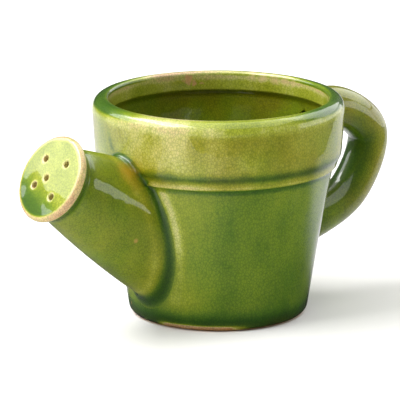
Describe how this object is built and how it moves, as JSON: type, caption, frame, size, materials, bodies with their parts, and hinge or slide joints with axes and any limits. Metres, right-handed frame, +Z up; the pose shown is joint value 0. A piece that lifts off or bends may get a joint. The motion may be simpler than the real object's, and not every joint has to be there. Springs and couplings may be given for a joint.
{
  "type": "watering can planter",
  "caption": "Glazed ceramic watering can planter: a flowerpot body with a collar, a hollow spout ending in a pierced rose, and a thick loop handle.",
  "frame": {"origin": "centre of the flat base on the surface that the can stands on, on the pot's axis", "axes": "+Z up out of the mouth, +X from the pot's axis towards the handle, -X towards the spout, Y across"},
  "size_m": [0.22, 0.1226, 0.106],
  "materials": {
    "green_glaze": "glossy translucent green crackle glaze over buff clay",
    "pooled_glaze": "the same glaze where it has run thick into a joint, dark green and glossy",
    "thin_glaze": "the same glaze broken thin over an edge, so that the tan clay shows"
  },
  "bodies": {
    "root": {"pot_body": "green_glaze", "spout_tube": "green_glaze", "rose_plate": "green_glaze", "handle_loop": "green_glaze", "spout_slip_joint": "pooled_glaze", "rose_slip_joint": "thin_glaze", "handle_upper_slip_joint": "pooled_glaze", "handle_lower_slip_joint": "pooled_glaze"}
  },
  "joints": []
}
